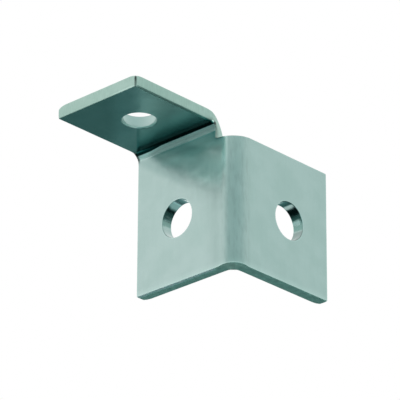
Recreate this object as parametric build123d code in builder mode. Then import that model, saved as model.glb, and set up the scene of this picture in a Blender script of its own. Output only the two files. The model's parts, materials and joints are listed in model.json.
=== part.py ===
from build123d import *
import os

# A three-way angle bracket, punched from steel plate and folded twice.
# Two upright walls meet at a vertical bend, and a flange is folded outwards
# from the top of one wall. Each of the three legs has one round bolt hole.
# The bracket stands on the walls' lower edges, +Z up. The flanged wall's outer
# face looks towards -X and the plain wall's outer face towards -Y.

# Plate
plate_thickness = 5.0
bend_inner_radius = 1.5
fold_inner_radius = 3.0
punch_roll_radius = 0.6

# Walls. The plain wall is measured from where the outer faces would meet.
wall_height = 52.5
plain_wall_length = 51.0

# Flange, measured outwards from the flanged wall's outer face. A notch parts
# its tab from the vertical bend, so that the two bends can be made apart.
flange_width = 40.0
flange_length = 42.5
flange_rise = 6.0
notch_width = 3.0
notch_radius = 1.2

# Bolt holes, placed from the edges of the leg that each one is in
wall_hole_diameter = 15.0
flange_hole_diameter = 13.0
hole_roll_radius = 0.5
wall_hole_height = 26.0
flanged_wall_hole_from_end = 20.5
plain_wall_hole_from_end = 21.0
flange_hole_from_end = 21.5
flange_hole_from_side = 21.0

# Sizes that follow from the ones above
bend_outer_radius = bend_inner_radius + plate_thickness
fold_outer_radius = fold_inner_radius + plate_thickness
flanged_wall_length = bend_outer_radius + notch_width + flange_width
flange_underside = wall_height + flange_rise
flange_top = flange_underside + plate_thickness

# The outer corner, placed so that the origin is under the middle of the box,
# and the end of the flanged wall that is furthest from it
corner_x = (flange_length - plain_wall_length) / 2
corner_y = -flanged_wall_length / 2
far_y = corner_y + flanged_wall_length


def sheet_section(convex_side, concave_side):
    """Close two parallel folded lines into the section of a bent plate."""
    Line(convex_side @ 0, concave_side @ 0)
    Line(convex_side @ 1, concave_side @ 1)


def bend_face(body, radius, axis):
    """The cylindrical face of a bend that has this direction, nearest to this radius."""
    bends = body.faces().filter_by(GeomType.CYLINDER).filter_by(
        lambda face: face.axis_of_rotation.is_parallel(axis)
    )
    return bends.sort_by(lambda face: abs(face.radius - radius))[0]


def outline(faces):
    """The edges round the outside of a patch of neighbouring faces."""
    edges = [edge for face in faces for edge in face.edges()]
    return [edge for edge in edges if sum(edge.is_same(other) for other in edges) == 1]


with BuildPart() as angle_bracket:
    # Both walls in plan, with the vertical bend between them
    with BuildSketch(Plane((corner_x, corner_y, 0))):
        with BuildLine():
            outside = FilletPolyline(
                (0, flanged_wall_length),
                (0, 0),
                (plain_wall_length, 0),
                radius=bend_outer_radius,
            )
            inside = FilletPolyline(
                (plate_thickness, flanged_wall_length),
                (plate_thickness, plate_thickness),
                (plain_wall_length, plate_thickness),
                radius=bend_inner_radius,
            )
            sheet_section(outside, inside)
        make_face()
    extrude(amount=wall_height)

    # The tab above the flanged wall and the flange, seen along their fold
    with BuildSketch(Plane((corner_x, far_y, 0), x_dir=(1, 0, 0), z_dir=(0, -1, 0))):
        with BuildLine():
            lower = FilletPolyline(
                (-flange_length, flange_underside),
                (0, flange_underside),
                (0, wall_height),
                radius=fold_inner_radius,
            )
            upper = FilletPolyline(
                (-flange_length, flange_top),
                (plate_thickness, flange_top),
                (plate_thickness, wall_height),
                radius=fold_outer_radius,
            )
            sheet_section(upper, lower)
        make_face()
    extrude(amount=flange_width)

    # The notch has a round root beside the tab
    notch_root = (corner_x, corner_y + bend_outer_radius + notch_width, wall_height)
    fillet(
        angle_bracket.edges().filter_by(Axis.X).sort_by_distance(notch_root)[0],
        radius=notch_radius,
    )

    # The punch rounds the outline of the side that it enters: the inside of
    # the walls, which carries on round the fold to the flange's top
    punched_side = [
        angle_bracket.faces().filter_by(Axis.X).sort_by(Axis.X)[-2],
        angle_bracket.faces().filter_by(Axis.Y).sort_by(Axis.Y)[1],
        angle_bracket.faces().filter_by(Axis.Z).sort_by(Axis.Z)[-1],
        bend_face(angle_bracket, bend_inner_radius, Axis.Z),
        bend_face(angle_bracket, fold_outer_radius, Axis.Y),
    ]
    fillet(outline(punched_side), radius=punch_roll_radius)

    # One bolt hole in each leg, seen from the side that the punch leaves
    bolt_holes = [
        (
            (corner_x, far_y - flanged_wall_hole_from_end, wall_hole_height),
            (-1, 0, 0),
            wall_hole_diameter,
        ),
        (
            (corner_x + plain_wall_length - plain_wall_hole_from_end, corner_y, wall_hole_height),
            (0, -1, 0),
            wall_hole_diameter,
        ),
        (
            (
                corner_x - flange_length + flange_hole_from_end,
                far_y - flange_hole_from_side,
                flange_underside,
            ),
            (0, 0, -1),
            flange_hole_diameter,
        ),
    ]
    for centre, outwards, diameter in bolt_holes:
        with Locations(Plane(centre, z_dir=outwards)):
            Hole(diameter / 2)
        rims = angle_bracket.edges(Select.LAST).filter_by(GeomType.CIRCLE)
        fillet(rims.sort_by(Axis(centre, outwards))[0], radius=hole_roll_radius)

angle_bracket.part.label = "angle_bracket"
os.makedirs("parts", exist_ok=True)
export_step(angle_bracket.part, "parts/angle_bracket.step")
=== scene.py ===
"""Dresses the folded steel bracket and sets its camera, floor and studio light.

The bracket is built as it is made: a flat blank is punched, its edges get the
roll, land and break that a punch leaves, and the blank is then folded twice.
A point of the blank has three coordinates in millimetres: along runs round the
vertical bend from the flanged wall to the plain wall, up runs up the walls and
on over the fold to the flange's end, and through runs from the walls' outer
faces to their inner faces.
"""

import json
import math

import bpy
import numpy as np
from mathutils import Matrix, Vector, noise


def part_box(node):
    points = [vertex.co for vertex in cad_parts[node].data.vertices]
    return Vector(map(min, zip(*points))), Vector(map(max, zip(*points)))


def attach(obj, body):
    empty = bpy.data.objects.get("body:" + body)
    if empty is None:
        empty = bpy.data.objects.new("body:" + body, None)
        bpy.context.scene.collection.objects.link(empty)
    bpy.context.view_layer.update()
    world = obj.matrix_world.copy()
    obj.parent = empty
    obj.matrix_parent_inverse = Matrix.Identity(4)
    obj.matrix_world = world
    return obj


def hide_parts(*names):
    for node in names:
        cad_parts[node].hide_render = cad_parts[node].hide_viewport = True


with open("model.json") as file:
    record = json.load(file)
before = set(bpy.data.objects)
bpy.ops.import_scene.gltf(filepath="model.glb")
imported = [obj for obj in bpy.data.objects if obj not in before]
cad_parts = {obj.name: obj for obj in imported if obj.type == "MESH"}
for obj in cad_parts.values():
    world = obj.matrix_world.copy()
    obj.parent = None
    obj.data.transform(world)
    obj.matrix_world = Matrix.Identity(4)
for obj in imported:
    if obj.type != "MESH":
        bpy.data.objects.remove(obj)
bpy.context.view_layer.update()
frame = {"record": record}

MM = 0.001
NODE = "angle_bracket"
SLOT = "zinc_plated_steel"

# Plate, in millimetres
PLATE = 5.0
BEND_INNER = 1.5
BEND_OUTER = BEND_INNER + PLATE
BEND_LENGTH = (BEND_INNER + PLATE / 2) * math.pi / 2
FOLD_INNER = 3.0
FOLD_LENGTH = (FOLD_INNER + PLATE / 2) * math.pi / 2
WALL_HEIGHT = 52.5
NOTCH_WIDTH = 3.0
NOTCH_RADIUS = 1.2
CORNER_RADIUS = 0.35

# What the punch leaves on an edge: a round roll where it enters, larger at the
# corners, a smooth land, a rough break that draws in a little, and a fine burr
# edge where it leaves. The flange's side edge breaks away to a narrow lip.
PLATE_ROLL = 0.65
CORNER_ROLL = 1.1
CORNER_REACH = 1.4
HOLE_ROLL = 0.5
BURR_RADIUS = 0.16
BREAK_HEIGHT = 1.7
BREAK_DRAW = 0.08
FACE_RIM = 1.4
LIP_HEIGHT = 0.7
LIP_DRAW = 0.32
LIP_FADE = 1.5

# The break's unevenness: its depth, how often its grain repeats in a millimetre along
# the edge and through the plate, and the same for a slower wave that is a share of it
# and takes one layer of its noise
BREAK_ROUGHNESS = 0.035
BREAK_GRAIN = 1.7
BREAK_GRAIN_THROUGH = 1.1
BREAK_WAVE = 0.25
BREAK_WAVE_SHARE = 0.5
BREAK_WAVE_LAYER = 7.0

# What folding leaves at the ends of a bend: the stretched side draws in and the
# squeezed side bulges out, fading within a few millimetres of the edge
EDGE_DRAW = 0.60
EDGE_BULGE = 0.45
EDGE_FADE = 3.0
BEND_SPREAD = 2.0
FOLD_THINNING = 0.25
FOLD_DRAW = 1.0
FOLD_DRAW_SHIFT = -2.0

# Kinds of punched edge: the blank's outline, or a hole's wall
OUTLINE = (1.0, 0.0)
HOLE_WALL = (0.0, 1.0)

# The mesh, in millimetres: the rim that is left round the flat sheet for its edges,
# the fine stretch near each corner with its step, the steps in the bends and on the
# faces, half the side of the field round each hole, and the stretch in which an
# edge's points catch up with its corner
MARGIN = 2.0
CORNER_SPAN = 1.0
CORNER_STEP = 0.2
BEND_STEP = 0.4
FACE_STEP = 1.2
HOLE_FIELD = 11.5
STRETCH = 5.0

# The mesh's counts of rings and steps, its heights in the break, and how much the
# large faces weigh in its normals
HOLE_RINGS = 6
BURR_STEPS = 3
LAND_STEPS = 3
ROLL_STEPS = 8
BREAK_HEIGHTS = (0.3, 0.5, LIP_HEIGHT, 0.85, 1.1, 1.4, BREAK_HEIGHT)
NORMAL_WEIGHT = 80

# Noises of the plating: how often each repeats in a millimetre along, up and through
# the blank, and its detail
CLOUDS = ((0.09, 0.09, 0.09), 3.0)
GRAIN = ((0.7, 0.056, 0.7), 5.0)
SCORING = ((2.2, 2.2, 0.35), 4.0)
STREAKS = ((0.8, 0.11, 0.8), 3.0)
DASHES = ((1.1, 0.16, 1.1), 2.0)
FOOT_MOTTLE = ((0.45, 0.45, 0.45), 3.0)
WAVE = ((0.10, 0.10, 0.10), 2.0)

# Where in their noise the clouds and the dashes start and are full
CLOUD_LIMITS = (0.35, 0.65)
DASH_LIMITS = (0.42, 0.72)

# The plating's two tones, the tint of the punched outline, and the edge tint of the
# metal, plain and darkened at the flange hole's rolled rim as a painted shade on its reflection
ZINC_TONES = ((0.415, 0.56, 0.53, 1), (0.445, 0.587, 0.56, 1))
EDGE_TINT = (0.98, 1.03, 0.965, 1)
EDGE_TINTS_WITH_RIM_SHADE = ((1, 1, 1, 1), (0.25, 0.33, 0.32, 1))

# Roughness of the faces, from the finest to the coarsest of the grain's usual range
FACE_ROUGHNESS = (0.20, 0.25)
GRAIN_RANGE = (0.3, 0.7)

# Relief of the surface, in millimetres: the fine grain and the scoring of punched
# edges, with their strengths, a long low wave, and the lean that the wall takes just
# under the fold, as a slope and the height it fades over
FINE_RELIEF = 0.2
GRAIN_STRENGTH = 0.012
SCORING_STRENGTH = 0.07
HOLE_SCORING = 0.8
WAVE_HEIGHT = 0.13
LEAN_SLOPE = 0.15
LEAN_REACH = 7.0
LEAN_ROUNDING = 0.2

# Painted shade and painted light in the plating's colour: each stop has its place in
# millimetres, the share of the plain tone's red that is left there, and the share of its
# green and blue. Across the fold they paint the mirrored flange as shade and light on the
# wall under it, pale lines of painted light in the fold's dull inside corner, and a dark
# band of painted shade above that, fading across the flange's underside. Across the
# vertical bend they paint shade on its stretched outside and just before it. Across the
# fold, places are measured up the blank from the flange's flat.
FOLD_PAINTED_SHADES = [
    (-36.0, 1.0, 1.0),
    (-31.0, 1.19, 1.21),
    (-28.0, 1.33, 1.36),
    (-25.0, 1.32, 1.35),
    (-22.0, 1.27, 1.28),
    (-19.5, 1.14, 1.15),
    (-18.0, 1.07, 1.09),
    (-16.0, 1.02, 1.05),
    (-14.3, 0.97, 1.03),
    (-13.0, 0.84, 0.89),
    (-11.5, 0.59, 0.65),
    (-9.3, 0.45, 0.55),
    (-8.2, 0.51, 0.60),
    (-7.3, 0.79, 0.82),
    (-6.6, 1.0, 1.0),
    (-6.0, 1.13, 1.13),
    (-5.2, 1.0, 1.0),
    (-4.6, 0.96, 0.96),
    (-3.9, 1.2, 1.2),
    (-3.2, 1.4, 1.4),
    (-2.7, 1.65, 1.65),
    (-2.3, 0.01, 0.08),
    (-0.6, 0.01, 0.16),
    (0.2, 0.005, 0.13),
    (1.2, 0.015, 0.26),
    (1.8, 0.055, 0.42),
    (2.5, 0.28, 0.80),
    (3.8, 0.43, 0.89),
    (8.0, 0.575, 0.87),
    (14.0, 0.71, 0.86),
    (22.0, 0.95, 1.0),
]
BEND_PAINTED_SHADES = [
    (-9.0, 1.0, 1.0),
    (-6.0, 0.97, 0.97),
    (-3.0, 0.90, 0.91),
    (-1.2, 0.935, 0.94),
    (-0.8, 0.955, 0.96),
    (0.7, 0.945, 0.95),
    (1.9, 0.68, 0.76),
    (3.6, 0.725, 0.79),
    (6.0, 0.935, 0.94),
    (9.0, 1.0, 1.0),
]

# The palest share of all, which the shades' ramps are divided by
PALEST = max(max(red, rest) for _, red, rest in FOLD_PAINTED_SHADES + BEND_PAINTED_SHADES)

# How far the fold's shades drop towards the wall, and how much further at the far end
FOLD_DROP = 1.1
FAR_END_DROP = 0.95

# The change in the share of the bend's shades at its top
BEND_TOP_CHANGE = -0.4

# The painted shade, a dark line, at the flange's near corner: its depth at the outer
# face, and how much deeper it is towards the inner face
CORNER_SHADE_DEPTH = 0.60
CORNER_SHADE_DEEPER = 0.25

# Slanted lines on the blank, as slopes and a start. The first two are where mirrored
# things end: the wall in the flange's underside, and the flange in the wall. The
# third is the lower limit of the painted light in the fold's shade near the vertical bend.
WALL_LINE_SLOPE = -0.95
FLANGE_LINE_SLOPE = 1.48
FLANGE_LINE_START = 8.35
LIFT_LINE_SLOPE = 0.35

# The studio seen in the metal. Its tone, from 0 to 1, changes evenly with direction
# above and below the horizon, as slopes along x, y and z and a level. It passes from
# one to the other over a range of heights.
HIGH_TONE = ((0.027, 0.141, 0.0), 0.93)
LOW_TONE = ((0.0, 0.12, 0.30), 0.217)
HORIZON = (-0.12, 0.14)
TONE_COLOURS = [
    (0.0, (0.003, 0.016, 0.016, 1)),
    (0.2, (0.065, 0.165, 0.162, 1)),
    (0.6, (0.46, 0.645, 0.65, 1)),
    (0.86, (0.80, 0.868, 0.86, 1)),
    (1.0, (1.0, 1.0, 1.0, 1)),
]

# Directions of the studio's pale panels and of a dark one, how close to each (as a
# cosine) its tone starts and is full, and the pale tones
PALE_SPOTS = [
    ((0.25, 0.62, -0.743), 0.968, 0.99, 0.90),
    ((0.66, 0.05, -0.75), 0.90, 0.985, 0.55),
    ((-0.76, 0.60, -0.25), 0.92, 0.985, 0.74),
    ((-0.92, 0.15, -0.36), 0.92, 0.985, 0.97),
    ((-0.28, -0.32, -0.905), 0.90, 0.98, 0.60),
    ((-0.45, -0.80, -0.40), 0.55, 0.92, 0.62),
]
DARK_SPOT = ((-0.30, 0.62, -0.725), 0.90, 0.97)

# The lamp above the bracket, in metres and watts
LAMP_PLACE = (-0.25, -0.35, 0.9)
LAMP_TARGET = (0, 0, 0.03)
LAMP_SIZE = 0.5
LAMP_POWER = 4.0

# The floor, in metres
FLOOR_HALF = 6.0
FLOOR_LEVEL = -0.0004
FLOOR_COLOUR = (0.80, 0.82, 0.82, 1)

# The camera of the photograph, in metres, degrees and millimetres of lens and sensor
CAMERA_PLACE = (-0.83764, -0.79823, -0.50285)
CAMERA_TURN = (114.872, -0.280, -46.634)
CAMERA_LENS = 309.17
CAMERA_SENSOR = 36.0
CAMERA_NEAR = 0.01
CAMERA_FAR = 50.0

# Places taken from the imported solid, in millimetres
low = np.array(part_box(NODE)[0]) / MM
high = np.array(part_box(NODE)[1]) / MM
mounts = {mount["name"]: mount for mount in frame["record"]["mounts"]}
corner_x = mounts["flanged_wall_face"]["pos_m"][0] / MM
corner_y = low[1]
bend_x = corner_x + BEND_OUTER
bend_y = corner_y + BEND_OUTER
fold_x = corner_x - FOLD_INNER
fold_z = mounts["flange_underside"]["pos_m"][2] / MM - FOLD_INNER

# The blank's outline
FLANGED_END = bend_y - high[1]
PLAIN_END = BEND_LENGTH + high[0] - bend_x
TAB_SIDE = -NOTCH_WIDTH
FOLD_START = fold_z
FOLD_END = fold_z + FOLD_LENGTH
FLANGE_END = FOLD_END + fold_x - low[0]

# Patches of the finish. A patch is a list of limits. A limit is the name of a share,
# or of a measure with the values where the patch starts and where it is full.
FOLD_FACE = ("through", 1.0, 0.2)
BEND_FACE = ("through", 1.5, 0.5)
BEFORE_BEND = ("along", 0.6, -0.4)
AT_FOOT = ("up", 1.2, 0.5)

# The fold's shades: their patch, the wall's far corner that they leave clear, the
# patch where they drop towards the wall, and the far end where they drop further
FOLD_PATCH = [("past_wall_line", 1.8, 2.8), ("past_flange_line", -2.5, 5.0), FOLD_FACE, BEFORE_BEND]
CLEAR_PATCH = [("from_far_end", 9.0, 3.5), ("offset", -5.0, -7.0)]
DROP_PATCH = [("offset", -0.2, -4.0), ("offset", -10.0, -6.5)]
FAR_END_PATCH = [("from_far_end", 14.5, 6.5)]

# The bend's painted shades: their patch, left off at the foot, and the bend's top
BEND_PATCH = [BEND_FACE, ("up", 0.2, 0.9)]
BEND_TOP_PATCH = [("up", WALL_HEIGHT - 14.0, WALL_HEIGHT - 4.0)]

# Painted light and shade, each with its patch. On the wall: painted shade at the edge of
# the fold's shade, and painted light at the far corner, in the fold's shade near the
# vertical bend, and beside the bend's top. On the flange's underside: painted light near
# its far side, and two patches of painted reflection of the pale wall, a glow on both
# sides of the line where the mirrored wall ends.
PAINTED_WALL_REFLECTION = (1.32, 1.27, 1.29, 1)
PAINTED_LIGHT_AND_SHADE = [
    ((0.80, 0.85, 0.85, 1), [
        ("past_flange_line", -9.0, -3.0), ("past_flange_line", 7.0, 3.0),
        ("from_far_end", 30.0, 20.0), ("offset", -7.5, -9.5), FOLD_FACE,
    ]),
    ((1.4, 1.4, 1.4, 1), [
        ("from_far_end", 9.0, 3.5), ("offset", -4.5, -5.5), ("offset", -9.0, -7.0), FOLD_FACE,
    ]),
    ((1.75, 1.47, 1.47, 1), [
        ("from_far_end", 21.0, 30.0), ("above_lift_line", -2.4, 0.4),
        ("offset", -6.8, -8.2), FOLD_FACE, BEFORE_BEND,
    ]),
    ((1.42, 1.42, 1.42, 1), [
        ("along", -0.4, 0.4), ("along", 1.9, 0.8),
        ("up", WALL_HEIGHT - 20.0, WALL_HEIGHT - 8.0), BEND_FACE,
    ]),
    ((1.45, 1.32, 1.32, 1), [
        ("past_wall_line", 4.0, 1.0), ("offset", 18.0, 6.0), ("offset", 0.0, 1.5), FOLD_FACE,
    ]),
    (PAINTED_WALL_REFLECTION, [
        ("past_wall_line", -13.0, -4.0), ("past_wall_line", 3.5, 1.5), ("offset", 4.0, 14.0), FOLD_FACE,
    ]),
    (PAINTED_WALL_REFLECTION, [
        ("past_wall_line", 1.5, 3.5), ("past_wall_line", 19.0, 7.0), ("offset", 8.0, 20.0), FOLD_FACE,
        ("along", TAB_SIDE + 0.6, TAB_SIDE + 0.2),
    ]),
]

# Wear, marks, painted highlights and painted shades, each with the change of tone that it makes and its
# patch
WEAR_AND_PAINTED_SHADING = [
    # A painted highlight along the faces' rims, the scored outline and faint streaks
    (0.12, ["near_edge", "on_face"]),
    (0.3, ["on_outline", "scored"]),
    (0.04, ["streaked"]),
    # The walls' foot: a painted highlight along its edge and on the face above it, mottled at its edge, and
    # there painted light towards the outer face and painted shade towards the inner
    (0.30, ["on_outline", ("up", 0.9, 0.3)]),
    (0.10, ["on_face", ("up", 3.0, 0.2)]),
    (0.60, ["on_outline", AT_FOOT, ("through", 2.2, 0.3)]),
    (-0.30, ["on_outline", AT_FOOT, ("through", 4.3, 4.8)]),
    (0.7, ["on_outline", AT_FOOT, "mottled"]),
    # Short dark upright marks where the bend stretched the plating
    (-0.10, ["dashed", BEND_FACE, ("along", -1.0, 1.0), ("along", BEND_LENGTH + 3.0, BEND_LENGTH)]),
    # A painted shade along the fold's far end, a dark rim
    (-0.75, [
        ("along", FLANGED_END + 1.4, FLANGED_END + 0.7), ("through", 1.2, 0.5),
        ("up", FOLD_START - 1.5, FOLD_START + 1.0), ("up", FOLD_END, FOLD_END - 1.2),
    ]),
    # A painted shade on the tab's side edge where it meets the fold
    (-0.35, [
        "on_outline", ("along", TAB_SIDE - 0.6, TAB_SIDE - 0.3),
        ("up", FOLD_END + 3.0, FOLD_END - 1.0), ("through", 2.6, 0.4),
    ]),
]

# The painted shade where the flange's two punched edges meet at its near corner
CORNER_SHADE_PATCH = [
    ("along", TAB_SIDE - 0.75, TAB_SIDE - 0.35), ("up", FLANGE_END - 0.75, FLANGE_END - 0.35),
]
CORNER_SHADE_DEEPER_PATCH = [("through", 1.0, 3.2)]

# A painted highlight and a painted shade at the fold's pinched end: place on the blank,
# reach and shade. A mark's core, where its shade is full, is a share of its reach.
FOLD_END_HIGHLIGHT_AND_SHADE = [
    ((TAB_SIDE, FOLD_END - 2.1, 0.2), 1.2, 4.0),
    ((TAB_SIDE, FOLD_END - 3.9, 1.0), 1.3, 0.22),
]
MARK_CORE = 0.4

# Where the metal's edge tint is darkened, a painted shade on the reflection in the flange hole's rolled rim
RIM_SHADE_PATCH = ["in_hole", ("through", 3.9, 4.4), ("up", FOLD_END, FOLD_END + 1.0)]

# What is added to the faces' roughness in each patch: the punched outline, the walls,
# the burnished holes and the dull inside corner of the fold
ROUGHER = [
    (0.20, ["on_outline"]),
    (0.02, [("up", FOLD_START, FOLD_START - 4.0)]),
    (-0.07, ["in_hole"]),
    (0.40, [
        FOLD_FACE, ("up", FOLD_START + 0.2, FOLD_START + 1.2), ("up", FOLD_END - 2.6, FOLD_END - 3.6),
    ]),
]

# The wall's outside face under the fold, which leans out
LEAN_PATCH = [
    ("along", TAB_SIDE + 2.0, TAB_SIDE - 5.0), ("through", 0.3, 0.1),
    ("up", FOLD_START + 3.0, FOLD_START + 2.0),
]


def hole(name):
    """A bolt hole's centre along and up the blank, and its radius."""
    x, y, z = (value / MM for value in mounts[name]["pos_m"])
    radius = mounts[name]["dims"]["r_mm"]
    if name == "flange_hole":
        return bend_y - y, FOLD_END + fold_x - x, radius
    if name == "plain_wall_hole":
        return BEND_LENGTH + x - bend_x, z, radius
    return bend_y - y, z, radius


HOLES = [hole("flanged_wall_hole"), hole("plain_wall_hole"), hole("flange_hole")]

# Painted shade and painted light inside the walls' holes, with the stretches along and up
# that each one has, and how softly a stretch starts and ends
FLANGED_HOLE_MIDDLE = HOLES[0][0]
PLAIN_HOLE_MIDDLE = HOLES[1][0]
HOLE_PAINTED_SHADES = [
    ((FLANGED_HOLE_MIDDLE - 10, FLANGED_HOLE_MIDDLE + 10), (15.0, 24.5), 0.92),
    ((FLANGED_HOLE_MIDDLE - 10, FLANGED_HOLE_MIDDLE - 3), (27.5, 32.0), 0.75),
    ((FLANGED_HOLE_MIDDLE - 2.0, FLANGED_HOLE_MIDDLE + 5), (32.8, 40.0), 2.6),
    ((PLAIN_HOLE_MIDDLE - 10, PLAIN_HOLE_MIDDLE + 10), (15.0, 40.0), 0.91),
    ((PLAIN_HOLE_MIDDLE - 10, PLAIN_HOLE_MIDDLE + 10), (15.0, 24.5), 0.72),
    ((PLAIN_HOLE_MIDDLE, PLAIN_HOLE_MIDDLE + 10), (25.0, 30.2), 1.25),
    ((PLAIN_HOLE_MIDDLE + 1.8, PLAIN_HOLE_MIDDLE + 10), (31.2, 32.6), 0.45),
    ((PLAIN_HOLE_MIDDLE - 5, PLAIN_HOLE_MIDDLE + 2.0), (32.8, 40.0), 1.3),
]
SOFT_ALONG = 0.7
SOFT_UP = 0.5


# Flat blank

def stations(stops, steps):
    """Positions that take in every stop, with about a step between them in each stretch."""
    values = [stops[0]]
    for start, end, step in zip(stops, stops[1:], steps):
        count = max(1, round((end - start) / step))
        values += [start + (end - start) * part / count for part in range(1, count + 1)]
    return np.array(values)


def place_of(values, stop):
    """The index of a stop among the stations."""
    return int(np.argmin(np.abs(values - stop)))


def blank_grid():
    """The grid lines along and up the blank, and the rectangle of lines round each hole."""
    flanged_left = min(HOLES[0][0], HOLES[2][0]) - HOLE_FIELD
    flanged_right = max(HOLES[0][0], HOLES[2][0]) + HOLE_FIELD
    tab = TAB_SIDE - MARGIN
    top = WALL_HEIGHT - MARGIN
    steps = [
        CORNER_STEP, FACE_STEP, FACE_STEP, FACE_STEP, CORNER_STEP, FACE_STEP, BEND_STEP,
        FACE_STEP, FACE_STEP, FACE_STEP, CORNER_STEP,
    ]
    along_stops = [
        FLANGED_END + MARGIN, FLANGED_END + MARGIN + CORNER_SPAN, flanged_left, flanged_right,
        tab - CORNER_SPAN, tab + CORNER_SPAN, 0, BEND_LENGTH, HOLES[1][0] - HOLE_FIELD,
        HOLES[1][0] + HOLE_FIELD, PLAIN_END - MARGIN - CORNER_SPAN, PLAIN_END - MARGIN,
    ]
    up_stops = [
        MARGIN, MARGIN + CORNER_SPAN, HOLES[0][1] - HOLE_FIELD, HOLES[0][1] + HOLE_FIELD,
        top - CORNER_SPAN, top + CORNER_SPAN, FOLD_START, FOLD_END, HOLES[2][1] - HOLE_FIELD,
        HOLES[2][1] + HOLE_FIELD, FLANGE_END - MARGIN - CORNER_SPAN, FLANGE_END - MARGIN,
    ]
    along = stations(along_stops, steps)
    up = stations(up_stops, steps)
    fields = []
    for centre_along, centre_up, _ in HOLES:
        on_tab = centre_along < 0
        left = flanged_left if on_tab else centre_along - HOLE_FIELD
        right = flanged_right if on_tab else centre_along + HOLE_FIELD
        fields.append((
            place_of(along, left),
            place_of(up, centre_up - HOLE_FIELD),
            place_of(along, right),
            place_of(up, centre_up + HOLE_FIELD),
        ))
    return along, up, fields


def walk(corners):
    """The grid steps from corner to corner round a closed line, one list for each side."""
    sides = []
    for (i, j), (k, m) in zip(corners, corners[1:] + corners[:1]):
        count = max(abs(k - i), abs(m - j))
        sides.append([
            (i + (k - i) * step // count, j + (m - j) * step // count) for step in range(count)
        ])
    return sides


def blank_sheet():
    """The blank without its rim: points, faces, and the loops that its edges start from."""
    along, up, fields = blank_grid()
    tab = place_of(along, TAB_SIDE - MARGIN)
    top = place_of(up, WALL_HEIGHT - MARGIN)
    points, ids, faces = [], {}, []

    def point(i, j):
        if (i, j) not in ids:
            ids[i, j] = len(points)
            points.append((along[i], up[j]))
        return ids[i, j]

    for i in range(len(along) - 1):
        for j in range(len(up) - 1):
            if j >= top and i >= tab:
                continue
            if any(a <= i < c and b <= j < d for a, b, c, d in fields):
                continue
            faces.append([point(i, j), point(i + 1, j), point(i + 1, j + 1), point(i, j + 1)])

    rims = []
    for (a, b, c, d), (centre_along, centre_up, radius) in zip(fields, HOLES):
        loop = [point(i, j) for side in walk([(a, b), (c, b), (c, d), (a, d)]) for i, j in side]
        start = np.array([points[index] for index in loop])
        centre = np.array([centre_along, centre_up])
        outwards = start - centre
        outwards /= np.linalg.norm(outwards, axis=1)[:, None]
        end = centre + outwards * (radius + MARGIN)
        for ring in range(1, HOLE_RINGS + 1):
            share = ring / HOLE_RINGS
            first = len(points)
            points += [tuple(place) for place in start + (end - start) * share]
            new = list(range(first, first + len(loop)))
            for k, index in enumerate(loop):
                after = (k + 1) % len(loop)
                faces.append([index, loop[after], new[after], new[k]])
            loop = new
        rims.append((loop[::-1], (centre + outwards * radius)[::-1], outwards[::-1] * MARGIN))

    last_i, last_j = len(along) - 1, len(up) - 1
    corners = [(0, 0), (last_i, 0), (last_i, top), (tab, top), (tab, last_j), (0, last_j)]
    sides = walk(corners)
    loop = [point(i, j) for side in sides for i, j in side]
    edge = outline([len(side) for side in sides], np.array([points[index] for index in loop]))
    return np.array(points), faces, (loop, edge), rims


def outline(counts, core):
    """The blank's true outline, one point for each point of the loop inside it."""
    corners = np.array([
        (FLANGED_END, 0), (PLAIN_END, 0), (PLAIN_END, WALL_HEIGHT),
        (TAB_SIDE, WALL_HEIGHT), (TAB_SIDE, FLANGE_END), (FLANGED_END, FLANGE_END),
    ])
    radii = [CORNER_RADIUS, CORNER_RADIUS, CORNER_RADIUS, NOTCH_RADIUS, CORNER_RADIUS, CORNER_RADIUS]
    steps = np.roll(corners, -1, axis=0) - corners
    lengths = np.abs(steps).sum(axis=1)
    ways = steps / lengths[:, None]
    turns = [np.cross(ways[k - 1], ways[k]) for k in range(len(corners))]
    edge, first = [], 0
    for k, count in enumerate(counts):
        after = (k + 1) % len(corners)
        side = core[first:first + count]
        done = (side - side[0]) @ ways[k]
        whole = lengths[k] - (turns[k] + turns[after]) * MARGIN
        place = done + turns[k] * MARGIN * np.minimum(done / STRETCH, 1)
        place += turns[after] * MARGIN * (1 - np.minimum((whole - done) / STRETCH, 1))
        for s in place:
            edge.append(rounded(corners, ways, radii, k, after, s, lengths[k]))
        first += count
    return np.array(edge)


def rounded(corners, ways, radii, k, after, s, length):
    """A point at distance s along a side of the outline, moved onto the arc at a corner close by."""
    if s < radii[k]:
        turn = math.pi / 4 * (1 + s / radii[k])
        return arc(corners[k], ways[k - 1], ways[k], radii[k], turn)
    if length - s < radii[after]:
        turn = math.pi / 4 * (1 - (length - s) / radii[after])
        return arc(corners[after], ways[k], ways[after], radii[after], turn)
    return corners[k] + ways[k] * s


def arc(corner, way_in, way_out, radius, turn):
    """A point on a corner's arc, from 0 where it starts to a right angle where it ends."""
    centre = corner - way_in * radius + way_out * radius
    return centre + radius * (math.sin(turn) * way_in - math.cos(turn) * way_out)


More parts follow.
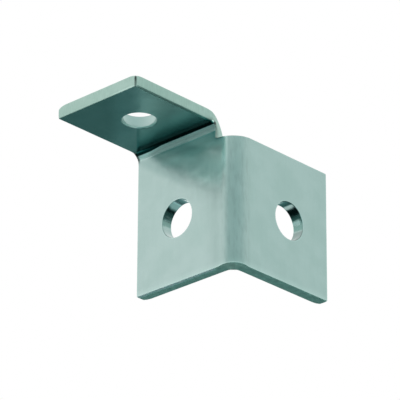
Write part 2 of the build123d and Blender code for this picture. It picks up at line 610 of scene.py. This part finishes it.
def edge_profile(roll, lip):
    """Inset and height of the rim's points, from the burr side's face round to the rolled side's."""
    profile = [(FACE_RIM, 0.0), (FACE_RIM / 2, 0.0)]
    for step in range(BURR_STEPS + 1):
        turn = math.pi / 2 * step / BURR_STEPS
        inset = BREAK_DRAW + BURR_RADIUS * (1 - math.sin(turn))
        height = BURR_RADIUS * (1 - math.cos(turn))
        profile.append((inset + lip * (1 - height / LIP_HEIGHT), height))
    for height in BREAK_HEIGHTS:
        share = (height - BURR_RADIUS) / (BREAK_HEIGHT - BURR_RADIUS)
        inset = BREAK_DRAW * (1 - share) ** 2
        profile.append((inset + lip * max(0.0, 1 - height / LIP_HEIGHT), height))
    for step in range(1, LAND_STEPS + 1):
        profile.append((0.0, BREAK_HEIGHT + (PLATE - roll - BREAK_HEIGHT) * step / LAND_STEPS))
    for step in range(1, ROLL_STEPS + 1):
        turn = math.pi / 2 * step / ROLL_STEPS
        profile.append((roll * (1 - math.cos(turn)), PLATE - roll + roll * math.sin(turn)))
    profile.append(((roll + MARGIN) / 2, PLATE))
    return profile


def rolls(edge):
    """The roll's radius at each point of the outline, larger near the outward corners."""
    corners = [
        (FLANGED_END, 0), (PLAIN_END, 0), (PLAIN_END, WALL_HEIGHT),
        (TAB_SIDE, FLANGE_END), (FLANGED_END, FLANGE_END),
    ]
    near = np.min([np.linalg.norm(edge - corner, axis=1) for corner in corners], axis=0)
    return PLATE_ROLL + CORNER_ROLL * np.exp(-(near / CORNER_REACH) ** 2)


def lips(edge):
    """How far the lip draws in at each point: along the flange's side edge, fading at its ends."""
    on_side = np.abs(edge[:, 0] - TAB_SIDE) < CORNER_RADIUS
    ends = np.minimum(edge[:, 1] - FOLD_END, FLANGE_END - edge[:, 1])
    return LIP_DRAW * on_side * np.clip(ends / LIP_FADE, 0, 1)


def torn(inset, height, place):
    """The inset with the fine unevenness of a punched edge, most of it in the break."""
    if height <= 0 or height >= PLATE:
        return inset
    in_break = math.exp(-((height - BREAK_HEIGHT / 2) / (BREAK_HEIGHT / 2)) ** 2)
    along, up = place
    grain = noise.noise(Vector((along * BREAK_GRAIN, up * BREAK_GRAIN, height * BREAK_GRAIN_THROUGH)))
    wave = noise.noise(Vector((along * BREAK_WAVE, up * BREAK_WAVE, BREAK_WAVE_LAYER)))
    return inset + BREAK_ROUGHNESS * (in_break * grain + BREAK_WAVE_SHARE * wave)


def blank_solid():
    """The punched blank: points with along, up and through, faces, and each point's kind of edge.

    A kind is three shares: in the outline's edge, in a hole's wall, and near an edge, where the faces get a
    painted highlight.
    """
    sheet, sheet_faces, (loop, edge), rims = blank_sheet()
    count = len(sheet)
    points = [(a, b, 0.0) for a, b in sheet] + [(a, b, PLATE) for a, b in sheet]
    kinds = [(0.0, 0.0, 0.0)] * len(points)
    faces = [face[:] for face in sheet_faces]
    faces += [[index + count for index in reversed(face)] for face in sheet_faces]
    bands = [(loop, edge, sheet[loop] - edge, rolls(edge), lips(edge), OUTLINE)]
    for rim, place, inwards in rims:
        bands.append((rim, place, inwards, np.full(len(rim), HOLE_ROLL), np.zeros(len(rim)), HOLE_WALL))
    for loop, edge, inwards, roll, lip, kind in bands:
        profiles = [edge_profile(*sizes) for sizes in zip(roll, lip)]
        previous = loop
        for row in zip(*profiles):
            first = len(points)
            for place, way, (inset, height) in zip(edge, inwards, row):
                a, b = place + way * torn(inset, height, place) / MARGIN
                points.append((a, b, height))
                in_edge = float(0 < height < PLATE)
                near_edge = float(inset < FACE_RIM / 2)
                kinds.append((kind[0] * in_edge, kind[1] * in_edge, near_edge))
            current = list(range(first, first + len(loop)))
            faces += band(previous, current)
            previous = current
        faces += band(previous, [index + count for index in loop])
    return np.array(points), faces, np.array(kinds)


def band(lower, upper):
    """Faces between two loops with as many points."""
    faces = []
    for k in range(len(lower)):
        after = (k + 1) % len(lower)
        faces.append([lower[after], lower[k], upper[k], upper[after]])
    return faces


# Folding

def bell(values, start, end):
    """1 in the middle of a bend, falling smoothly to 0 a little beyond its ends."""
    reach = (end - start) / 2 + BEND_SPREAD
    share = np.clip(np.abs(values - (start + end) / 2) / reach, 0, 1)
    return (1 - share ** 2) ** 2


def drawn(along, up, through):
    """Moves the blank's points as folding draws the plate at the ends of its bends."""
    share = through / PLATE
    bend = bell(along, 0, BEND_LENGTH)
    fold = bell(up, FOLD_START, FOLD_END)

    outer_in_bend = EDGE_DRAW * (1 - share) - EDGE_BULGE * share
    near_foot = np.exp(-np.maximum(up, 0) / EDGE_FADE)
    near_top = np.exp(-np.abs(WALL_HEIGHT - up) / EDGE_FADE)
    moved_up = up + bend * outer_in_bend * (near_foot - near_top)

    lower_fold = bell(up, FOLD_START + FOLD_DRAW_SHIFT, FOLD_END + FOLD_DRAW_SHIFT)
    near_far_end = np.exp(-np.maximum(along - FLANGED_END, 0) / EDGE_FADE)
    near_tab_side = np.exp(-np.abs(TAB_SIDE - along) / EDGE_FADE)
    on_tab = up > WALL_HEIGHT
    drawn_in = FOLD_DRAW * share * lower_fold - EDGE_BULGE * (1 - share) * fold
    moved_along = along + np.where(on_tab, drawn_in * (near_far_end - near_tab_side), 0)

    near_side = near_far_end + near_tab_side
    thinner = FOLD_THINNING * fold * (1 + near_side) * share * on_tab
    return moved_along, moved_up, through - thinner


def folded(along, up, through):
    """Folds the drawn blank into the bracket and returns x, y and z in millimetres."""
    turn = np.clip(along / BEND_LENGTH, 0, 1) * math.pi / 2
    radius = BEND_OUTER - through
    x = bend_x - radius * np.cos(turn) + np.maximum(along - BEND_LENGTH, 0)
    y = bend_y - radius * np.sin(turn) - np.minimum(along, 0)

    turn = np.clip((up - FOLD_START) / FOLD_LENGTH, 0, 1) * math.pi / 2
    radius = FOLD_INNER + through
    over = np.maximum(up - FOLD_END, 0)
    on_tab = up > FOLD_START
    x = np.where(on_tab, fold_x + radius * np.cos(turn) - over, x)
    z = np.where(on_tab, fold_z + radius * np.sin(turn), up)
    return np.stack([x, y, z], axis=1)


def build_bracket():
    """The folded bracket as a mesh with its blank coordinates kept for the finish."""
    blank, faces, kinds = blank_solid()
    places = folded(*drawn(*blank.T)) * MM
    mesh = bpy.data.meshes.new("folded_bracket")
    mesh.from_pydata(places.tolist(), [], faces)
    for name, values in [("blank", blank), ("edge_kind", kinds)]:
        kept = mesh.attributes.new(name, "FLOAT_VECTOR", "POINT")
        kept.data.foreach_set("vector", values.astype(np.float32).ravel())
    mesh.shade_smooth()
    mesh.validate()
    bracket = bpy.data.objects.new("folded_bracket", mesh)
    bpy.context.scene.collection.objects.link(bracket)
    normals = bracket.modifiers.new("face_normals", "WEIGHTED_NORMAL")
    normals.weight = NORMAL_WEIGHT
    normals.keep_sharp = True
    return bracket


# Finish

def node(tree, kind, inputs=None, **settings):
    """Adds a shader node, sets it up, and joins or fills its inputs."""
    made = tree.nodes.new(kind)
    for name, value in settings.items():
        setattr(made, name, value)
    for socket, value in (inputs or {}).items():
        if isinstance(value, bpy.types.NodeSocket):
            tree.links.new(value, made.inputs[socket])
        else:
            made.inputs[socket].default_value = value
    return made


def components(tree, vector):
    """A vector's three components."""
    return node(tree, "ShaderNodeSeparateXYZ", {0: vector}).outputs[:3]


def reckoned(tree, operation, *values):
    """What an operation makes of its values."""
    return node(tree, "ShaderNodeMath", dict(enumerate(values)), operation=operation).outputs[0]


def product(tree, *factors):
    """Several values multiplied together."""
    result = factors[0]
    for factor in factors[1:]:
        result = reckoned(tree, "MULTIPLY", result, factor)
    return result


def line(tree, value, gain, start):
    """A value times a gain, plus a start."""
    return reckoned(tree, "MULTIPLY_ADD", value, gain, start)


def mapped(tree, value, start, end, low=0.0, high=1.0, **settings):
    """A value carried over from one range to another."""
    return node(
        tree,
        "ShaderNodeMapRange",
        {"Value": value, "From Min": start, "From Max": end, "To Min": low, "To Max": high},
        **settings,
    ).outputs["Result"]


def where(tree, value, none, full):
    """A share that rises from 0 to 1 as a value passes from one limit to the other."""
    return mapped(tree, value, none, full, interpolation_type="SMOOTHSTEP")


def mottle(tree, blank, repeats, detail):
    """Noise over the blank, from 0 to 1."""
    scaled = node(tree, "ShaderNodeVectorMath", {0: blank, 1: repeats}, operation="MULTIPLY")
    return node(
        tree, "ShaderNodeTexNoise", {"Vector": scaled.outputs[0], "Scale": 1.0, "Detail": detail}
    ).outputs["Fac"]


def mixed(tree, share, first, second, blend="MIX"):
    """The first colour, blended with the second as far as a share goes."""
    return node(
        tree,
        "ShaderNodeMix",
        {"Factor": share, "A": first, "B": second},
        data_type="RGBA",
        blend_type=blend,
    ).outputs[2]


def shaded(tree, colour, share, shade):
    """A colour multiplied by a shade, as far as its share goes."""
    return mixed(tree, share, colour, shade, "MULTIPLY")


def scaled_colour(tree, colour, level):
    """A colour made paler or darker."""
    return node(
        tree, "ShaderNodeVectorMath", {0: colour, "Scale": level}, operation="SCALE"
    ).outputs[0]


def colour_ramp(tree, value, stops):
    """A colour that follows a value through stops from 0 to 1."""
    ramp = node(tree, "ShaderNodeValToRGB", {"Fac": value})
    elements = ramp.color_ramp.elements
    elements[0].color = stops[0][1]
    elements[1].color = stops[-1][1]
    for position, colour in stops[1:-1]:
        element = elements.new(position)
        element.color = colour
    return ramp.outputs["Color"]


def shades(tree, place, stops):
    """A colour that follows a list of places and shades."""
    first, last = stops[0][0], stops[-1][0]
    reached = mapped(tree, place, first, last)
    colours = [
        ((stop - first) / (last - first), (red / PALEST, rest / PALEST, rest / PALEST, 1))
        for stop, red, rest in stops
    ]
    return scaled_colour(tree, colour_ramp(tree, reached, colours), PALEST)


def surface_measures(tree, blank, kinds, scoring):
    """The measures and shares that patches are limited by, by name.

    Offset is up the blank from the flange's flat, and the other distances are
    along it from its far end or from the slanted lines. Noises are centred on 0.
    """
    along, up, through = components(tree, blank)
    on_outline, in_hole, near_edge = components(tree, kinds)
    in_edge = reckoned(tree, "ADD", on_outline, in_hole)
    offset = line(tree, up, 1.0, -FOLD_END)
    from_far_end = line(tree, along, 1.0, -FLANGED_END)
    flange_line = line(tree, from_far_end, 1.0, FLANGE_LINE_START)
    return {
        "along": along,
        "up": up,
        "through": through,
        "on_outline": on_outline,
        "in_hole": in_hole,
        "on_face": line(tree, in_edge, -1.0, 1.0),
        "near_edge": near_edge,
        "offset": offset,
        "from_far_end": from_far_end,
        "past_wall_line": line(tree, offset, WALL_LINE_SLOPE, from_far_end),
        "past_flange_line": line(tree, offset, FLANGE_LINE_SLOPE, flange_line),
        "above_lift_line": line(tree, from_far_end, LIFT_LINE_SLOPE, offset),
        "scored": line(tree, scoring, 1.0, -0.5),
        "streaked": line(tree, mottle(tree, blank, *STREAKS), 1.0, -0.5),
        "mottled": line(tree, mottle(tree, blank, *FOOT_MOTTLE), 1.0, -0.5),
        "dashed": where(tree, mottle(tree, blank, *DASHES), *DASH_LIMITS),
    }


def patch(tree, measures, limits):
    """A share that is 1 inside a patch and falls off at its limits."""
    shares = []
    for limit in limits:
        if isinstance(limit, str):
            shares.append(measures[limit])
        else:
            name, none, full = limit
            shares.append(where(tree, measures[name], none, full))
    return product(tree, *shares)


def steel_material():
    """Zinc-plated sheet steel: cloudy smooth faces, scored punched edges and a dull fold, with light and
    shade painted into its colour.
    """
    material = bpy.data.materials.new(SLOT)
    material.use_nodes = True
    tree = material.node_tree
    tree.nodes.clear()

    blank = node(tree, "ShaderNodeAttribute", attribute_name="blank").outputs["Vector"]
    kinds = node(tree, "ShaderNodeAttribute", attribute_name="edge_kind").outputs["Vector"]
    grain = mottle(tree, blank, *GRAIN)
    scoring = mottle(tree, blank, *SCORING)
    measures = surface_measures(tree, blank, kinds, scoring)
    colour = plating_colour(tree, blank, measures)
    shade = product(tree, wear_and_painted_shading(tree, measures), corner_painted_shade(tree, measures), fold_end_highlight_and_shade(tree, blank))
    shader = node(
        tree,
        "ShaderNodeBsdfPrincipled",
        {
            "Base Color": scaled_colour(tree, colour, shade),
            "Metallic": 1.0,
            "Specular Tint": mixed(tree, patch(tree, measures, RIM_SHADE_PATCH), *EDGE_TINTS_WITH_RIM_SHADE),
            "Roughness": plating_roughness(tree, measures, grain),
            "Normal": plating_relief(tree, blank, measures, grain, scoring),
        },
    )
    output = node(tree, "ShaderNodeOutputMaterial")
    tree.links.new(shader.outputs["BSDF"], output.inputs["Surface"])
    return material


def plating_colour(tree, blank, measures):
    """Cloudy bluish zinc, with painted light and shade in patches, across the fold and across the bend."""
    cloud = where(tree, mottle(tree, blank, *CLOUDS), *CLOUD_LIMITS)
    colour = mixed(tree, cloud, *ZINC_TONES)
    for tint, limits in PAINTED_LIGHT_AND_SHADE:
        colour = shaded(tree, colour, patch(tree, measures, limits), tint)
    colour = fold_painted_shade(tree, measures, colour)
    colour = bend_painted_shade(tree, measures, colour)
    return shaded(tree, colour, measures["on_outline"], EDGE_TINT)


def fold_painted_shade(tree, measures, colour):
    """The colour with painted shade and painted light across the fold, on its inside face, with the wall's
    far corner kept clear.
    """
    clear = patch(tree, measures, CLEAR_PATCH)
    share = product(tree, patch(tree, measures, FOLD_PATCH), line(tree, clear, -1.0, 1.0))
    full_drop = line(tree, patch(tree, measures, FAR_END_PATCH), FAR_END_DROP, FOLD_DROP)
    drop = product(tree, full_drop, patch(tree, measures, DROP_PATCH))
    place = reckoned(tree, "ADD", measures["offset"], drop)
    return shaded(tree, colour, share, shades(tree, place, FOLD_PAINTED_SHADES))


def bend_painted_shade(tree, measures, colour):
    """The colour with painted shade across the bend, on its outside face alone and left off at its foot."""
    level = line(tree, patch(tree, measures, BEND_TOP_PATCH), BEND_TOP_CHANGE, 1.0)
    share = product(tree, patch(tree, measures, BEND_PATCH), level)
    return shaded(tree, colour, share, shades(tree, measures["along"], BEND_PAINTED_SHADES))


def wear_and_painted_shading(tree, measures):
    """The shade of the wear and marks, of the painted highlights and painted shades, and of the painted
    shade and light in the walls' holes.
    """
    holes = []
    for (first_along, last_along), (first_up, last_up), level in HOLE_PAINTED_SHADES:
        holes.append((level - 1.0, [
            "in_hole",
            ("along", first_along - SOFT_ALONG, first_along + SOFT_ALONG),
            ("along", last_along + SOFT_ALONG, last_along - SOFT_ALONG),
            ("up", first_up - SOFT_UP, first_up + SOFT_UP),
            ("up", last_up + SOFT_UP, last_up - SOFT_UP),
        ]))
    return product(
        tree, *(line(tree, patch(tree, measures, limits), change, 1.0) for change, limits in WEAR_AND_PAINTED_SHADING + holes)
    )


def corner_painted_shade(tree, measures):
    """A painted shade, a dark line where the flange's two punched edges meet at its near corner."""
    depth = line(tree, patch(tree, measures, CORNER_SHADE_DEEPER_PATCH), CORNER_SHADE_DEEPER, CORNER_SHADE_DEPTH)
    return line(tree, product(tree, patch(tree, measures, CORNER_SHADE_PATCH), depth), -1.0, 1.0)


def fold_end_highlight_and_shade(tree, blank):
    """A painted highlight and a painted shade at the fold's pinched end."""
    marks = []
    for place, reach, level in FOLD_END_HIGHLIGHT_AND_SHADE:
        distance = node(tree, "ShaderNodeVectorMath", {0: blank, 1: place}, operation="DISTANCE")
        near = where(tree, distance.outputs["Value"], reach, reach * MARK_CORE)
        marks.append(line(tree, near, level - 1.0, 1.0))
    return product(tree, *marks)


def plating_roughness(tree, measures, grain):
    """Smooth faces, rougher punched edges, burnished hole walls and a dull inside corner."""
    rough = mapped(tree, grain, *GRAIN_RANGE, *FACE_ROUGHNESS)
    for change, limits in ROUGHER:
        rough = line(tree, patch(tree, measures, limits), change, rough)
    return rough


def plating_relief(tree, blank, measures, grain, scoring):
    """The surface's direction with fine grain, scored edges, a low wave and the lean at the fold."""
    on_edges = line(tree, measures["in_hole"], HOLE_SCORING, measures["on_outline"])
    normal = raised(tree, grain, GRAIN_STRENGTH, FINE_RELIEF)
    normal = raised(tree, scoring, product(tree, on_edges, SCORING_STRENGTH), FINE_RELIEF, normal)
    normal = raised(tree, mottle(tree, blank, *WAVE), 1.0, WAVE_HEIGHT, normal)

    reached = mapped(tree, measures["up"], FOLD_START - LEAN_REACH, FOLD_START, clamp=False)
    risen = reckoned(tree, "SMOOTH_MIN", reckoned(tree, "MAXIMUM", reached, 0.0), 1.0, LEAN_ROUNDING)
    leaning_out = product(tree, risen, risen, risen)
    return raised(tree, leaning_out, patch(tree, measures, LEAN_PATCH), LEAN_SLOPE * LEAN_REACH / 3, normal)


def raised(tree, height, strength, scale, normal=None):
    """The surface's direction where a height, times its scale in millimetres, is laid on it."""
    inputs = {"Height": height, "Strength": strength, "Distance": scale * MM}
    if normal is not None:
        inputs["Normal"] = normal
    return node(tree, "ShaderNodeBump", inputs).outputs["Normal"]


# Studio

def build_floor():
    """A wide pale floor under the bracket, which only shows from above."""
    mesh = bpy.data.meshes.new("floor")
    sides = [(-1, -1), (1, -1), (1, 1), (-1, 1)]
    corners = [(x * FLOOR_HALF, y * FLOOR_HALF, FLOOR_LEVEL) for x, y in sides]
    mesh.from_pydata(corners, [], [(0, 1, 2, 3)])
    floor = bpy.data.objects.new("floor", mesh)
    bpy.context.scene.collection.objects.link(floor)
    floor.visible_diffuse = False
    floor.visible_glossy = False
    floor.visible_transmission = False
    floor.visible_shadow = False
    mesh.materials.append(floor_material())


def floor_material():
    """Pale from above and clear from below."""
    material = bpy.data.materials.new("pale_floor")
    material.use_nodes = True
    tree = material.node_tree
    tree.nodes.clear()
    from_below = node(tree, "ShaderNodeNewGeometry").outputs["Backfacing"]
    pale = node(tree, "ShaderNodeBsdfDiffuse", {"Color": FLOOR_COLOUR})
    clear = node(tree, "ShaderNodeBsdfTransparent")
    either = node(
        tree, "ShaderNodeMixShader", {0: from_below, 1: pale.outputs[0], 2: clear.outputs[0]}
    )
    output = node(tree, "ShaderNodeOutputMaterial")
    tree.links.new(either.outputs[0], output.inputs["Surface"])
    return material


def build_world():
    """Plain white for the camera, and for all else a studio with a white sky and a dark teal floor."""
    world = bpy.data.worlds.new("studio")
    world.use_nodes = True
    bpy.context.scene.world = world
    tree = world.node_tree
    tree.nodes.clear()

    colours = colour_ramp(tree, studio_tone(tree), TONE_COLOURS)
    mirrored = node(tree, "ShaderNodeBackground", {"Color": colours, "Strength": 1.0})
    white = node(tree, "ShaderNodeBackground", {"Color": (1, 1, 1, 1), "Strength": 1.0})
    path = node(tree, "ShaderNodeLightPath")
    shown = node(
        tree,
        "ShaderNodeMixShader",
        {0: path.outputs["Is Camera Ray"], 1: mirrored.outputs[0], 2: white.outputs[0]},
    )
    output = node(tree, "ShaderNodeOutputWorld")
    tree.links.new(shown.outputs[0], output.inputs["Surface"])


def studio_tone(tree):
    """The studio's tone in each direction, from 0 to 1, with its pale panels and its dark one."""
    direction = node(tree, "ShaderNodeTexCoord").outputs["Generated"]
    above = where(tree, components(tree, direction)[2], *HORIZON)
    high_tone = reckoned(tree, "MINIMUM", leaning(tree, direction, *HIGH_TONE), 1.0)
    low_tone = reckoned(tree, "MAXIMUM", leaning(tree, direction, *LOW_TONE), 0.0)
    tone = line(tree, above, reckoned(tree, "SUBTRACT", high_tone, low_tone), low_tone)
    for towards, first, last, level in PALE_SPOTS:
        spot = product(tree, where(tree, leaning(tree, direction, towards), first, last), level)
        tone = reckoned(tree, "MAXIMUM", tone, spot)
    towards, first, last = DARK_SPOT
    return product(tree, tone, where(tree, leaning(tree, direction, towards), last, first))


def leaning(tree, direction, slope, level=0.0):
    """A tone that changes evenly with direction."""
    lean = node(tree, "ShaderNodeVectorMath", {0: direction, 1: slope}, operation="DOT_PRODUCT")
    return reckoned(tree, "ADD", lean.outputs["Value"], level)


def build_lamp():
    """A soft square lamp above the bracket, which the metal doesn't mirror."""
    data = bpy.data.lights.new("top_lamp", "AREA")
    data.shape = "SQUARE"
    data.size = LAMP_SIZE
    data.energy = LAMP_POWER
    lamp = bpy.data.objects.new("top_lamp", data)
    lamp.location = LAMP_PLACE
    lamp.rotation_mode = "QUATERNION"
    lamp.rotation_quaternion = (Vector(LAMP_TARGET) - Vector(LAMP_PLACE)).to_track_quat("-Z", "Y")
    lamp.visible_glossy = False
    bpy.context.scene.collection.objects.link(lamp)


def build_camera():
    """The camera stands below the bracket and looks up at its corner."""
    data = bpy.data.cameras.new("camera")
    data.sensor_width = CAMERA_SENSOR
    data.lens = CAMERA_LENS
    data.clip_start = CAMERA_NEAR
    data.clip_end = CAMERA_FAR
    camera = bpy.data.objects.new("camera", data)
    camera.location = CAMERA_PLACE
    camera.rotation_euler = [math.radians(angle) for angle in CAMERA_TURN]
    bpy.context.scene.collection.objects.link(camera)
    bpy.context.scene.camera = camera


bracket = build_bracket()
bracket.data.materials.append(steel_material())
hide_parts(NODE)
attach(bracket, "root")

build_floor()
build_world()
build_lamp()
build_camera()
bpy.context.scene.view_settings.view_transform = "Standard"
